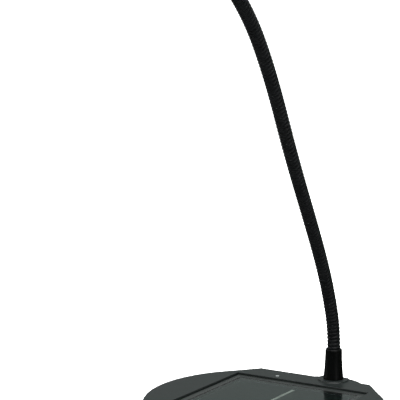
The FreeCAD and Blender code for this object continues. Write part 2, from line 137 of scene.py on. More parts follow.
class StandSizes(bpy.types.PropertyGroup):
    """Sizes of the detail that the finish adds to the frame."""

    shell_edge: length("Shell edge", "Radius on the moulded edges of the base", 0.25 * MM)
    bezel_edge: length("Bezel edge", "Radius on the edges of the panel's frame", 0.15 * MM)
    lens_edge: length("Lens edge", "Radius on the rim of the indicator", 0.2 * MM)
    foot_edge: length("Foot edge", "Radius on the rubber feet", 0.5 * MM)
    foot_groove: length("Foot groove", "Depth of the rings in the rubber feet", 0.3 * MM)
    collar_top: length("Collar top radius", "Outside of the collar at its rim", 5.65 * MM)
    collar_waist: length("Collar waist", "How far the taper is drawn in half way up", 0.25 * MM)
    collar_rim: length("Collar rim", "Radius on the collar's upper edge", 0.9 * MM)
    collar_bore: length("Collar bore", "Radius of the hole that the neck stands in", 4.65 * MM)
    round_wire: length("Round wire", "Thickness of the inner coil's wire", 2.1 * MM)
    round_coil: length("Round coil radius", "From the neck's middle to the inner coil's wire", 3.1 * MM)
    rib_width: length("Rib width", "Width of the outer coil's wire along the neck", 2.4 * MM)
    rib_height: length("Rib height", "Depth of the outer coil's wire", 1.3 * MM)
    neck_radius: length("Neck radius", "Outside of the neck at the ribs", 4.5 * MM)
    liner: length("Liner radius", "Tube that fills the middle of the coil", 3.0 * MM)
    tuck: length("Tuck", "How far the coil runs into the collar and the sleeve", 6 * MM)
    ferrule_radius: length("Ferrule radius", "Outside of the sleeve at the tip", 6.2 * MM)
    ferrule_length: length("Ferrule length", "Length of the sleeve at the tip", 20 * MM)
    ferrule_socket: length("Ferrule socket", "Depth of the hole that takes the neck", 8 * MM)
    ferrule_groove: length("Ferrule groove", "Depth of the rings turned in the sleeve", 0.35 * MM)
    fitting_edge: length("Fitting edge", "Radius on the edges of the tip's pieces", 0.5 * MM)
    shoulder_radius: length("Shoulder radius", "Ring below the microphone thread", 9.5 * MM)
    shoulder_length: length("Shoulder length", "Height of the ring below the thread", 3 * MM)
    stud_radius: length("Stud radius", "Stud inside the thread adapter", 4.76 * MM)
    stud_length: length("Stud length", "Length of the stud above the sleeve", 9 * MM)
    thread_pitch: length("Thread pitch", "Rise of one turn of the microphone thread", 25.4 / 27 * MM)
    thread_depth: length("Thread depth", "Height of the microphone thread", 0.55 * MM)
    turns: IntProperty(name="Turns per link", description="Turns of the coil in one link",
                       default=10, min=1)


class StandColours(bpy.types.PropertyGroup):
    """Colours of the finishes."""

    shell: colour("Shell", "Moulded black plastic of the base", (0.0085, 0.0108, 0.0105))
    collar: colour("Collar", "Satin plastic of the collar", (0.0012, 0.0013, 0.0013))
    coil: colour("Coil", "Blackened steel of the neck", (0.0036, 0.0040, 0.0043))
    fitting: colour("Fitting", "Black plated steel of the tip", (0.0065, 0.0068, 0.0072))
    bezel: colour("Bezel", "Frame round the panel", (0.020, 0.0225, 0.0215))
    cell: colour("Cell", "Dark silicon of the panel", (0.0060, 0.0085, 0.0085))
    finger: colour("Finger", "Fine printed lines on the cells", (0.060, 0.066, 0.064))
    ribbon: colour("Ribbon", "Tinned strips of the panel", (0.40, 0.42, 0.38))
    lens: colour("Lens", "Frosted indicator", (0.22, 0.24, 0.235))
    rubber: colour("Rubber", "Feet and seal", (0.012, 0.012, 0.012))
    zinc: colour("Zinc", "Plated ballast, screws and washer", (0.46, 0.47, 0.48))
    board: colour("Board", "Solder mask of the charge board", (0.012, 0.11, 0.045))
    pouch: colour("Pouch", "Foil round the battery", (0.42, 0.44, 0.47))
    floor: colour("Floor", "Pale floor and its turned-up rim", (0.86, 0.86, 0.86))


class StageSettings(bpy.types.PropertyGroup):
    """Floor, light and camera."""

    floor_radius: length("Floor radius", "Where the floor turns up", 3.0)
    floor_rise: length("Floor rise", "Height of the turned-up rim", 1.4)
    floor_glow: FloatProperty(name="Floor glow", description="Light that the floor gives itself",
                              default=0.85, min=0.0)
    key_power: FloatProperty(name="Key light", description="Overhead soft box",
                             default=55.0, min=0.0, unit="POWER")
    side_power: FloatProperty(name="Side lights", description="Tall soft boxes beside the stand",
                              default=4.5, min=0.0, unit="POWER")
    sky: FloatProperty(name="Room light", description="Brightness of the room above the floor",
                       default=0.30, min=0.0)
    camera_place: FloatVectorProperty(name="Camera place", description="Where the camera stands",
                                      default=(0.42231, -0.75247, 0.26607), subtype="TRANSLATION")
    camera_aim: FloatVectorProperty(name="Camera aim", description="The way that the camera looks",
                                    default=(-0.5256, 0.8405, -0.1315), subtype="DIRECTION")
    lens_mm: FloatProperty(name="Focal length", description="Of the camera, on a 36 mm sensor",
                           default=124.1, min=10.0, unit="CAMERA")


# ---- node trees


class Value:
    """An output socket. Arithmetic on it adds Math nodes, and vectors have methods of their own."""

    def __init__(self, nodes, socket):
        self.nodes = nodes
        self.socket = socket

    def other(self, name):
        """Another output of the same node."""
        return Value(self.nodes, self.socket.node.outputs[name])

    def math(self, operation, *others):
        return self.nodes.maths("ShaderNodeMath", operation, (self, *others))

    def __add__(self, other):
        return self.math("ADD", other)

    def __sub__(self, other):
        return self.math("SUBTRACT", other)

    def __mul__(self, other):
        return self.math("MULTIPLY", other)

    def __truediv__(self, other):
        return self.math("DIVIDE", other)

    def __radd__(self, other):
        return self.nodes.maths("ShaderNodeMath", "ADD", (other, self))

    def __rsub__(self, other):
        return self.nodes.maths("ShaderNodeMath", "SUBTRACT", (other, self))

    def __rmul__(self, other):
        return self.nodes.maths("ShaderNodeMath", "MULTIPLY", (other, self))

    def __rtruediv__(self, other):
        return self.nodes.maths("ShaderNodeMath", "DIVIDE", (other, self))

    def below(self, limit):
        return self.math("LESS_THAN", limit)

    def plus(self, vector):
        return self.nodes.maths("ShaderNodeVectorMath", "ADD", (self, vector))

    def cross(self, vector):
        return self.nodes.maths("ShaderNodeVectorMath", "CROSS_PRODUCT", (self, vector))

    def scaled(self, factor):
        return self.nodes.add("ShaderNodeVectorMath", {"operation": "SCALE"},
                              {"Vector": self, "Scale": factor})


class Nodes:
    """A node tree being written."""

    def __init__(self, tree):
        self.tree = tree

    def feed(self, socket, value):
        """Sets a socket, or links it to one value or to a tuple of several."""
        if isinstance(value, tuple) and isinstance(value[0], Value):
            for one in value:
                self.tree.links.new(one.socket, socket)
        elif isinstance(value, Value):
            self.tree.links.new(value.socket, socket)
        else:
            socket.default_value = value

    def add(self, kind, settings=None, sockets=None, output=0):
        """One node: its type, its settings, then the values or links of its sockets."""
        node = self.tree.nodes.new(kind)
        for name, value in (settings or {}).items():
            setattr(node, name, value)
        for name, value in (sockets or {}).items():
            self.feed(node.inputs[name], value)
        return Value(self, node.outputs[output])

    def maths(self, kind, operation, values):
        return self.add(kind, {"operation": operation}, dict(enumerate(values)))


class Finish(Nodes):
    """A material with one Principled surface. Keyword values go straight to its sockets."""

    def __init__(self, name, **sockets):
        self.material = bpy.data.materials.new(name)
        self.material.use_nodes = True
        super().__init__(self.material.node_tree)
        self.surface = self.tree.nodes["Principled BSDF"]
        for socket, value in sockets.items():
            self.set(socket.replace("_", " "), value)

    def set(self, socket, value):
        self.feed(self.surface.inputs[socket], value)

    def place(self, stretch=(1.0, 1.0, 1.0)):
        """Object coordinates, in metres, stretched if a pattern is not even all ways."""
        where = self.add("ShaderNodeTexCoord", output="Object")
        return self.add("ShaderNodeMapping", sockets={"Vector": where, "Scale": stretch})

    def noise(self, scale, detail=2.0, stretch=(1.0, 1.0, 1.0)):
        return self.add("ShaderNodeTexNoise", sockets={
            "Vector": self.place(stretch), "Scale": scale, "Detail": detail})

    def ramp(self, value, low, high):
        """0 below low, 1 above high and a straight line between."""
        return self.add("ShaderNodeMapRange", sockets={
            "Value": value, "From Min": low, "From Max": high})

    def mix(self, factor, first, second):
        """Two colours by a factor."""
        return self.add("ShaderNodeMix", {"data_type": "RGBA"},
                        {0: factor, 6: first, 7: second}, output=2)

    def bump(self, height, strength, distance):
        self.set("Normal", self.add("ShaderNodeBump", sockets={
            "Height": height, "Strength": strength, "Distance": distance}))


class Shape(Nodes):
    """A Geometry Nodes tree with named inputs for its sizes."""

    def __init__(self, name):
        super().__init__(bpy.data.node_groups.new(name, "GeometryNodeTree"))
        self.keys = {}
        self.inlet = self.tree.nodes.new("NodeGroupInput")

    def size(self, name, kind="Float"):
        socket = self.tree.interface.new_socket(
            name, in_out="INPUT", socket_type="NodeSocket" + kind)
        self.keys[name] = socket.identifier
        return Value(self, self.inlet.outputs[name])

    def finish(self, geometry):
        """Ends the tree in real geometry with the material of its last input."""
        paint = self.size("Material", "Material")
        real = self.add("GeometryNodeRealizeInstances", sockets={"Geometry": geometry})
        smooth = self.add("GeometryNodeSetShadeSmooth", sockets={"Geometry": real})
        painted = self.add("GeometryNodeSetMaterial", sockets={"Geometry": smooth, "Material": paint})
        self.tree.interface.new_socket("Geometry", in_out="OUTPUT", socket_type="NodeSocketGeometry")
        outlet = self.tree.nodes.new("NodeGroupOutput")
        self.tree.links.new(painted.socket, outlet.inputs["Geometry"])
        return self

    def grow(self, name, values):
        """A plain mesh piece, from these values for the named inputs."""
        maker = put(name, bpy.data.meshes.new(name))
        modifier = maker.modifiers.new("Shape", "NODES")
        modifier.node_group = self.tree
        for key, value in values.items():
            modifier[self.keys[key]] = value
        return settled(maker)


# ---- meshes


def put(name, mesh):
    piece = bpy.data.objects.new(name, mesh)
    bpy.context.scene.collection.objects.link(piece)
    return piece


def settled(maker):
    """The maker's modifiers made into a plain mesh, and then taken off."""
    graph = bpy.context.evaluated_depsgraph_get()
    mesh = bpy.data.meshes.new_from_object(maker.evaluated_get(graph), depsgraph=graph)
    maker.modifiers.clear()
    maker.data = mesh
    return maker


def smoothed(mesh, crease=35.0):
    """Smooth shading, with edges that turn more than crease left sharp."""
    mesh.shade_smooth()
    mesh.set_sharp_from_angle(angle=math.radians(crease))
    return mesh


def softened(node, name, width, segments=3):
    """A CAD node's shape with its edges rounded, as a moulding has them."""
    bm = bmesh.new()
    bm.from_mesh(frame["nodes"][node].data)
    for layer in list(bm.loops.layers.float_vector.values()):
        bm.loops.layers.float_vector.remove(layer)
    bmesh.ops.remove_doubles(bm, verts=bm.verts, dist=MERGE)
    bmesh.ops.dissolve_limit(bm, angle_limit=math.radians(0.5), verts=bm.verts, edges=bm.edges)
    mesh = bpy.data.meshes.new(name)
    bm.to_mesh(mesh)
    bm.free()
    mesh.shade_smooth()
    piece = put(name, mesh)
    bevel = piece.modifiers.new("Rounded edges", "BEVEL")
    bevel.width = width
    bevel.segments = segments
    bevel.limit_method = "ANGLE"
    bevel.angle_limit = math.radians(30)
    bevel.use_clamp_overlap = False
    flat = piece.modifiers.new("Flat faces stay flat", "WEIGHTED_NORMAL")
    flat.mode = "FACE_AREA"
    flat.weight = 100
    return settled(piece)


def turned(name, profile, segments=96, place=None):
    """A closed ring of (radius, height) points turned about Z, then moved to its place."""
    bm = bmesh.new()
    rings = []
    for radius, height in profile:
        if radius < 1e-7:
            rings.append([bm.verts.new((0, 0, height))])
            continue
        angles = [2 * math.pi * k / segments for k in range(segments)]
        rings.append([bm.verts.new((radius * math.cos(a), radius * math.sin(a), height))
                      for a in angles])
    for low, high in zip(rings, rings[1:] + rings[:1]):
        if len(low) == 1 and len(high) == 1:
            continue
        for k in range(segments):
            corners = [low[k % len(low)], low[(k + 1) % len(low)],
                       high[(k + 1) % len(high)], high[k % len(high)]]
            bm.faces.new(list(dict.fromkeys(corners)))
    bmesh.ops.recalc_face_normals(bm, faces=bm.faces)
    if place is not None:
        bm.transform(place)
    mesh = bpy.data.meshes.new(name)
    bm.to_mesh(mesh)
    bm.free()
    return put(name, smoothed(mesh))


def arc(middle, radius, start, end, steps=6):
    """Profile points round a quarter or less, from angle start to end in degrees."""
    turns = [math.radians(start + (end - start) * k / steps) for k in range(steps + 1)]
    return [(middle[0] + radius * math.cos(a), middle[1] + radius * math.sin(a)) for a in turns]


def painted(piece, finish):
    piece.data.materials.clear()
    piece.data.materials.append(finish.material)
    return piece


def coat(node, finish):
    """Gives a CAD node's object a finish."""
    for holder in frame["nodes"][node].material_slots:
        holder.material = finish.material


def stands_for(piece, body, slot, *nodes):
    """The piece rides on a body and hides CAD nodes; the slot is not used."""
    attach(piece, body)
    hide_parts(*nodes)


# ---- finishes


def moulded_black(name, tone, roughness=0.36, grain=0.12):
    """Moulded plastic: a fine spark-eroded grain, with faint rubbed patches."""
    finish = Finish(name, Specular_IOR_Level=0.30)
    rubbed = finish.ramp(finish.noise(38.0, 4.0), 0.42, 0.72)
    light = [min(1.0, c * 1.35) for c in tone[:3]] + [1.0]
    finish.set("Base Color", finish.mix(rubbed * 0.5, list(tone), light))
    fine = finish.noise(2600.0, 2.0)
    finish.set("Roughness", roughness + (rubbed - 0.5) * 0.05 + (fine - 0.5) * 0.06)
    finish.bump(fine, grain, 0.00004)
    return finish


def satin_black(name, tone):
    """Collar plastic: finer than the shell, with faint draw marks up the taper."""
    finish = Finish(name, Specular_IOR_Level=0.09)
    draw = finish.noise(900.0, 2.0, (1.0, 1.0, 0.08))
    light = [c * 1.6 for c in tone[:3]] + [1.0]
    finish.set("Base Color", finish.mix(finish.ramp(draw, 0.45, 0.8) * 0.4, list(tone), light))
    finish.set("Roughness", 0.33 + (draw - 0.5) * 0.10)
    finish.bump(draw, 0.08, 0.00003)
    return finish


def blackened_wire(name, tone):
    """Blackened spring wire: oily patches, fine pits and lighter rubbed spots."""
    finish = Finish(name, Metallic=0.2, Specular_IOR_Level=0.14)
    patch = finish.ramp(finish.noise(160.0, 3.0), 0.38, 0.70)
    spot = finish.ramp(finish.noise(1500.0, 2.0), 0.62, 0.78)
    light = [c * 2.2 for c in tone[:3]] + [1.0]
    finish.set("Base Color", finish.mix(patch * 0.35 + spot * 0.25, list(tone), light))
    finish.set("Roughness", 0.40 + patch * 0.10 - spot * 0.06)
    finish.bump(finish.noise(3200.0, 2.0), 0.10, 0.00003)
    return finish


def plated_steel(name, tone, metallic=0.9, roughness=0.30):
    """Turned and plated steel: faint tool rings and small changes of sheen."""
    finish = Finish(name, Metallic=metallic)
    sheen = finish.noise(220.0, 3.0)
    fine = finish.noise(2400.0, 2.0)
    light = [min(1.0, c * 1.25) for c in tone[:3]] + [1.0]
    finish.set("Base Color", finish.mix(finish.ramp(sheen, 0.35, 0.70), list(tone), light))
    finish.set("Roughness", roughness + (sheen - 0.5) * 0.16 + (fine - 0.5) * 0.05)
    finish.bump(fine, 0.06, 0.00002)
    return finish


def rubber(name, tone):
    finish = Finish(name, Specular_IOR_Level=0.25)
    fine = finish.noise(1800.0, 3.0)
    dust = finish.ramp(finish.noise(240.0, 4.0), 0.55, 0.80)
    pale = [c * 3.0 for c in tone[:3]] + [1.0]
    finish.set("Base Color", finish.mix(dust * 0.4, list(tone), pale))
    finish.set("Roughness", 0.72 + (fine - 0.5) * 0.12)
    finish.bump(fine, 0.20, 0.00004)
    return finish


def silicon_cell(name, tone, line):
    """Dark cell: a slight mottle under fine printed fingers that run across the strips."""
    finish = Finish(name, Specular_IOR_Level=0.5)
    mottle = finish.add("ShaderNodeTexVoronoi", sockets={
        "Vector": finish.place(), "Scale": 420.0}, output="Color")
    shade = finish.add("ShaderNodeSeparateColor", sockets={"Color": mottle})
    along = finish.add("ShaderNodeSeparateXYZ", sockets={"Vector": finish.place()}, output="Y")
    finger = (along * 500.0).math("FRACT").below(0.06)
    light = [c * 1.2 for c in tone[:3]] + [1.0]
    ground = finish.mix(shade, list(tone), light)
    finish.set("Base Color", finish.mix(finger * 0.35, ground, list(line)))
    finish.set("Roughness", 0.30 + shade * 0.03 + finger * 0.10)
    return finish


def cover_glass(name):
    """Clear cover glass: a mirror at a low angle and clear from above, with faint smears."""
    finish = Finish(name)
    finish.tree.nodes.remove(finish.surface)
    smear = finish.ramp(finish.noise(34.0, 4.0, (1.0, 2.6, 1.0)), 0.45, 0.75)
    clear = finish.add("ShaderNodeBsdfTransparent", sockets={"Color": (0.90, 0.94, 0.93, 1.0)})
    gloss = finish.add("ShaderNodeBsdfPrincipled", sockets={
        "Base Color": (0.92, 1.0, 0.98, 1.0), "Metallic": 1.0, "Roughness": 0.045 + smear * 0.05})
    edge = finish.add("ShaderNodeFresnel", sockets={"IOR": 1.5})
    both = finish.add("ShaderNodeMixShader", sockets={0: edge, 1: clear, 2: gloss})
    outlet = next(n for n in finish.tree.nodes if n.type == "OUTPUT_MATERIAL")
    finish.feed(outlet.inputs["Surface"], both)
    return finish


def tinned_strip(name, tone):
    """Tinned strip down the middle, with the ones at the panel's sides painted nearly black: painted shade along
    the recess walls.
    """
    finish = Finish(name, Metallic=0.3)
    streak = finish.noise(700.0, 3.0, (1.0, 0.12, 1.0))
    dull = [c * 0.72 for c in tone[:3]] + [1.0]
    # Painted shade: a near-black colour for the side strips, standing in for the shade along the panel's recess
    # walls.
    dark = [c * 0.08 for c in tone[:3]] + [1.0]
    across = finish.add("ShaderNodeSeparateXYZ", sockets={"Vector": finish.place()}, output="X")
    # Mask of the side strips, farther than 20 mm across from x = 0, which take the painted shade.
    edge = across.math("ABSOLUTE").math("GREATER_THAN", 0.02)
    bright = finish.mix(streak, dull, list(tone))
    finish.set("Base Color", finish.mix(edge, bright, dark))
    finish.set("Roughness", 0.34 + (streak - 0.5) * 0.2)
    finish.bump(streak, 0.08, 0.00003)
    return finish


def frosted_lens(name, tone):
    finish = Finish(name)
    cloud = finish.noise(900.0, 2.0)
    finish.set("Base Color", finish.mix(cloud, [c * 0.9 for c in tone[:3]] + [1.0], list(tone)))
    finish.set("Roughness", 0.32 + cloud * 0.1)
    return finish


def solder_mask(name, tone):
    """Circuit board: copper runs that show as a lighter green under the mask."""
    finish = Finish(name, Specular_IOR_Level=0.5)
    runs = finish.add("ShaderNodeTexBrick", {"offset": 0.35}, {
        "Vector": finish.place(), "Scale": 260.0, "Mortar Size": 0.05}, output="Fac")
    light = [min(1.0, c * 2.1) for c in tone[:3]] + [1.0]
    finish.set("Base Color", finish.mix(runs, list(tone), light))
    finish.set("Roughness", 0.38 + runs * 0.1)
    finish.bump(runs, 0.3, 0.00003)
    return finish


def foil_pouch(name, tone):
    finish = Finish(name, Metallic=0.55)
    crease = finish.noise(120.0, 5.0, (1.0, 0.45, 1.0))
    dark = [c * 0.7 for c in tone[:3]] + [1.0]
    finish.set("Base Color", finish.mix(crease, dark, list(tone)))
    finish.set("Roughness", 0.42 + (crease - 0.5) * 0.2)
    finish.bump(crease, 0.5, 0.0003)
    return finish


# ---- shapes


def coil_shape():
    """One link's length of gooseneck: a round wire, ribs wound in its gaps, and a liner."""
    shape = Shape("Gooseneck length")
    start, middle, end = (shape.size(n, "Vector") for n in ("Start", "Bend", "End"))
    turns, lead_in, lead_out = (shape.size(n) for n in ("Turns", "Lead In", "Lead Out"))
    wire, coil, liner = (shape.size(n) for n in ("Wire Radius", "Coil Radius", "Liner Radius"))
    rib_width, rib_height, rib_coil = (shape.size(n) for n in ("Rib Width", "Rib Height", "Rib Radius"))
    steps = shape.size("Steps per Turn", "Int")
    path = shape.add("GeometryNodeCurveQuadraticBezier", sockets={
        "Resolution": 48, "Start": start, "Middle": middle, "End": end})
    reach = shape.add("GeometryNodeCurveLength", sockets={"Curve": path})
    pitch = reach / turns
    total = lead_in + reach + lead_out

    def run(count, offset=0.0):
        """Points along the path, and the way out from the path at each."""
        share = shape.add("GeometryNodeInputIndex") / (count - 1)
        along = share * total - lead_in
        inside = along.math("MAXIMUM", 0.0).math("MINIMUM", reach)
        sample = shape.add("GeometryNodeSampleCurve", {"mode": "LENGTH"},
                           {"Curves": path, "Length": inside}, output="Position")
        heading = sample.other("Tangent")
        point = sample.plus(heading.scaled(along - inside))
        angle = (along / pitch + offset) * (2 * math.pi)
        across = shape.add("FunctionNodeInputVector", {"vector": (1.0, 0.0, 0.0)})
        out = across.scaled(angle.math("COSINE")).plus(
            heading.cross(across).scaled(angle.math("SINE")))
        return point, out

    def swept(count, point, profile, normal=None):
        """A profile drawn along the points."""
        line = shape.add("GeometryNodeMeshLine", sockets={"Count": count})
        line = shape.add("GeometryNodeSetPosition", sockets={"Geometry": line, "Position": point})
        curve = shape.add("GeometryNodeMeshToCurve", sockets={"Mesh": line})
        if normal is not None:
            curve = shape.add("GeometryNodeSetCurveNormal", {"mode": "FREE"},
                              {"Curve": curve, "Normal": normal})
        return shape.add("GeometryNodeCurveToMesh", sockets={
            "Curve": curve, "Profile Curve": profile, "Fill Caps": True})

    count = (total / pitch * steps).math("CEIL") + 1
    point, out = run(count)
    circle = shape.add("GeometryNodeCurvePrimitiveCircle", sockets={"Resolution": 8, "Radius": wire})
    inner = swept(count, point.plus(out.scaled(coil)), circle)

    point, out = run(count, offset=0.5)
    oval = shape.add("GeometryNodeCurvePrimitiveCircle", sockets={"Resolution": 10, "Radius": 0.5})
    size = shape.add("ShaderNodeCombineXYZ", sockets={"X": rib_height, "Y": rib_width, "Z": 1.0})
    oval = shape.add("GeometryNodeTransform", sockets={"Geometry": oval, "Scale": size})
    outer = swept(count, point.plus(out.scaled(rib_coil)), oval, out)

    point, out = run(25)
    tube = shape.add("GeometryNodeCurvePrimitiveCircle", sockets={"Resolution": 20, "Radius": liner})
    core = swept(25, point, tube)
    joined = shape.add("GeometryNodeJoinGeometry", sockets={"Geometry": (inner, outer, core)})
    return shape.finish(joined)


def thread_shape():
    """One helical ridge to go round a cylinder of the given radius, which runs out at both ends."""
    shape = Shape("Screw thread")
    radius, depth, pitch, reach = (shape.size(n) for n in ("Radius", "Depth", "Pitch", "Length"))
    steps = 72
    count = (reach / pitch * steps).math("CEIL")
    share = shape.add("GeometryNodeInputIndex") / (count - 1)
    angle = share * reach / pitch * (2 * math.pi)
    fade = (share * 14.0).math("MINIMUM", (1.0 - share) * 14.0).math("MINIMUM", 1.0)
    ring = radius - depth * (2.0 - fade)
    place = shape.add("ShaderNodeCombineXYZ", sockets={
        "X": ring * angle.math("COSINE"), "Y": ring * angle.math("SINE"),
        "Z": pitch * 0.5 + share * (reach - pitch)})
    out = shape.add("ShaderNodeCombineXYZ", sockets={
        "X": angle.math("COSINE"), "Y": angle.math("SINE"), "Z": 0.0})
    line = shape.add("GeometryNodeMeshLine", sockets={"Count": count})
    line = shape.add("GeometryNodeSetPosition", sockets={"Geometry": line, "Position": place})
    curve = shape.add("GeometryNodeMeshToCurve", sockets={"Mesh": line})
    curve = shape.add("GeometryNodeSetCurveNormal", {"mode": "FREE"}, {"Curve": curve, "Normal": out})
    ridge = shape.add("GeometryNodeCurvePrimitiveCircle", sockets={"Resolution": 4, "Radius": 0.5})
    size = shape.add("ShaderNodeCombineXYZ", sockets={"X": depth * 2.0, "Y": pitch * 0.86, "Z": 1.0})
    ridge = shape.add("GeometryNodeTransform", sockets={"Geometry": ridge, "Scale": size})
    return shape.finish(shape.add("GeometryNodeCurveToMesh", sockets={
        "Curve": curve, "Profile Curve": ridge, "Fill Caps": True}))


def copies_shape():
    """A source object repeated at the points of the mesh that carries the modifier."""
    shape = Shape("Repeated piece")
    shape.tree.interface.new_socket("Points", in_out="INPUT", socket_type="NodeSocketGeometry")
    points = Value(shape, shape.inlet.outputs["Points"])
    source = shape.size("Source", "Object")
    model = shape.add("GeometryNodeObjectInfo", {"transform_space": "ORIGINAL"},
                      {"Object": source}, output="Geometry")
    return shape.finish(shape.add("GeometryNodeInstanceOnPoints", sockets={
        "Points": points, "Instance": model}))


def repeated(name, source, centres, finish):
    """One mesh of copies of a source object at the centres."""
    shape = copies_shape()
    mesh = bpy.data.meshes.new(name)
    mesh.from_pydata(centres, [], [])
    maker = put(name, mesh)
    modifier = maker.modifiers.new("Shape", "NODES")
    modifier.node_group = shape.tree
    modifier[shape.keys["Source"]] = source
    modifier[shape.keys["Material"]] = finish.material
    piece = settled(maker)
    bpy.data.objects.remove(source)
    return piece


# ---- operators


class STAND_OT_shell(bpy.types.Operator):
    """Rounds the moulded edges of the base and gives it its grained black plastic"""

    bl_idname = "stand.shell"
    bl_label = "Base shell"

    def execute(self, context):
        sizes, colours = context.scene.stand_sizes, context.scene.stand_colours
        finish = moulded_black("Moulded black plastic", colours.shell)
        piece = painted(softened("top_shell", "moulded_shell", sizes.shell_edge), finish)
        stands_for(piece, "base", "shell", "top_shell")
        coat("bottom_cover", moulded_black("Cover plastic", colours.shell, 0.5, 0.3))
        return {"FINISHED"}


class STAND_OT_feet(bpy.types.Operator):
    """Makes the rubber feet and the pan-head screws under the base"""

    bl_idname = "stand.feet"
    bl_label = "Feet and screws"

    def execute(self, context):
        sizes, colours = context.scene.stand_sizes, context.scene.stand_colours
        centres, radius = solid_centres("foot_pads"), outer_radius("foot_pads")
        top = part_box("foot_pads")[1].z
        edge, groove = sizes.foot_edge, sizes.foot_groove
        profile = [(0, 0.0)]
        for inner, outer in FOOT_RINGS:
            profile += [(radius * inner, 0.0), (radius * inner, groove),
                        (radius * outer, groove), (radius * outer, 0.0)]
        profile += arc((radius - edge, edge), edge, -90, 0) + [(radius, top), (0, top)]
        foot = turned("foot_source", profile, 64)
        finish = rubber("Foot rubber", colours.rubber)
        feet = repeated("rubber_feet", foot, centres, finish)
        stands_for(feet, "base", "feet", "foot_pads")

        low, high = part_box("cover_screws")
        centres, head = solid_centres("cover_screws"), outer_radius("cover_screws")
        shank, end = head / 2, high.z - low.z
        top = FOOT_STAND - low.z
        crown = top * 2.4
        dome = arc((0, crown), crown, -90, -52, 5)
        profile = [(r, z) for r, z in dome if r < head * 0.92]
        profile += [(head, top * 0.55), (head, top), (shank, top), (shank, end), (0, end)]
        screw = turned("screw_source", profile, 32)
        cross_recess(screw, head)
        for centre in centres:
            centre.z = low.z
        screws = repeated("pan_head_screws", screw, centres,
                          plated_steel("Screw zinc", colours.zinc, 0.95, 0.32))
        stands_for(screws, "base", "screws", "cover_screws")
        return {"FINISHED"}


def cross_recess(screw, head):
    """Cuts a cross into the underside of a screw's head."""
    for turn in (0, 1):
        bm = bmesh.new()
        bmesh.ops.create_cube(bm, size=1.0)
        bm.transform(Matrix.Rotation(turn * math.pi / 2, 4, "Z")
                     @ Matrix.Diagonal((head * 1.15, head * 0.26, head * 0.36, 1.0)))
        mesh = bpy.data.meshes.new("recess")
        bm.to_mesh(mesh)
        bm.free()
        cutter = put("recess", mesh)
        cut = screw.modifiers.new("Cross recess", "BOOLEAN")
        cut.object = cutter
        cut.solver = "EXACT"
        settled(screw)
        bpy.data.objects.remove(cutter)
    smoothed(screw.data)


class STAND_OT_panel(bpy.types.Operator):
    """Finishes the charging panel: its frame, cover glass, cells, strips, seal and backing"""

    bl_idname = "stand.panel"
    bl_label = "Charging panel"

    def execute(self, context):
        sizes, colours = context.scene.stand_sizes, context.scene.stand_colours
        bezel = softened("panel_bezel", "panel_frame", sizes.bezel_edge)
        painted(bezel, moulded_black("Frame plastic", colours.bezel, 0.30, 0.08))
        stands_for(bezel, "base", "bezel", "panel_bezel")
        coat("panel_glass", cover_glass("Cover glass"))
        cell = silicon_cell("Silicon cell", colours.cell, colours.finger)
        for node in ("solar_cell_left", "solar_cell_right"):
            coat(node, cell)
        coat("bus_ribbons", tinned_strip("Tinned strip", colours.ribbon))
        coat("panel_backing", moulded_black("Backing laminate", colours.cell, 0.4, 0.05))
        coat("panel_seal", rubber("Seal rubber", colours.rubber))
        return {"FINISHED"}


class STAND_OT_indicator(bpy.types.Operator):
    """Makes the frosted indicator beside the panel"""

    bl_idname = "stand.indicator"
    bl_label = "Indicator"

    def execute(self, context):
        sizes, colours = context.scene.stand_sizes, context.scene.stand_colours
        low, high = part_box("indicator_lens")
        middle = Vector(((low.x + high.x) / 2, (low.y + high.y) / 2, 0))
        flange = (high.x - low.x) / 2
        window = flange * 0.6
        edge = sizes.lens_edge
        profile = [(0, low.z), (flange, low.z), (flange, low.z + MM), (window, low.z + MM)]
        profile += arc((window - edge, high.z - edge), edge, 0, 90) + [(0, high.z)]
        lens = turned("indicator_window", profile, 48, Matrix.Translation(middle))
        painted(lens, frosted_lens("Frosted lens", colours.lens))
        stands_for(lens, "base", "lens", "indicator_lens")
        return {"FINISHED"}


class STAND_OT_collar(bpy.types.Operator):
    """Turns the waisted collar at the foot of the neck"""

    bl_idname = "stand.collar"
    bl_label = "Collar"

    def execute(self, context):
        sizes, colours = context.scene.stand_sizes, context.scene.stand_colours
        high = COLLAR_HIGH.z - COLLAR_LOW.z
        foot = (COLLAR_HIGH.x - COLLAR_LOW.x) / 2
        top, rim, bore = sizes.collar_top, sizes.collar_rim, sizes.collar_bore
        lift = 0.3 * MM
        profile = arc((foot - lift, lift), lift, -90, 0, 4)
        steps = 24
        for k in range(1, steps):
            share = k / steps
            straight = foot + (top - foot) * share
            profile.append((straight - sizes.collar_waist * math.sin(math.pi * share),
                            lift + (high - rim - lift) * share))
        profile += arc((top - rim, high - rim), rim, 0, 82, 8)
        profile += [(bore, high - 0.25 * MM), (bore, 0.0)]
        collar = turned("tapered_collar", profile, 112, Matrix.Translation(COLLAR_FOOT))
        painted(collar, satin_black("Collar plastic", colours.collar))
        stands_for(collar, "base", "collar", "collar")
        return {"FINISHED"}


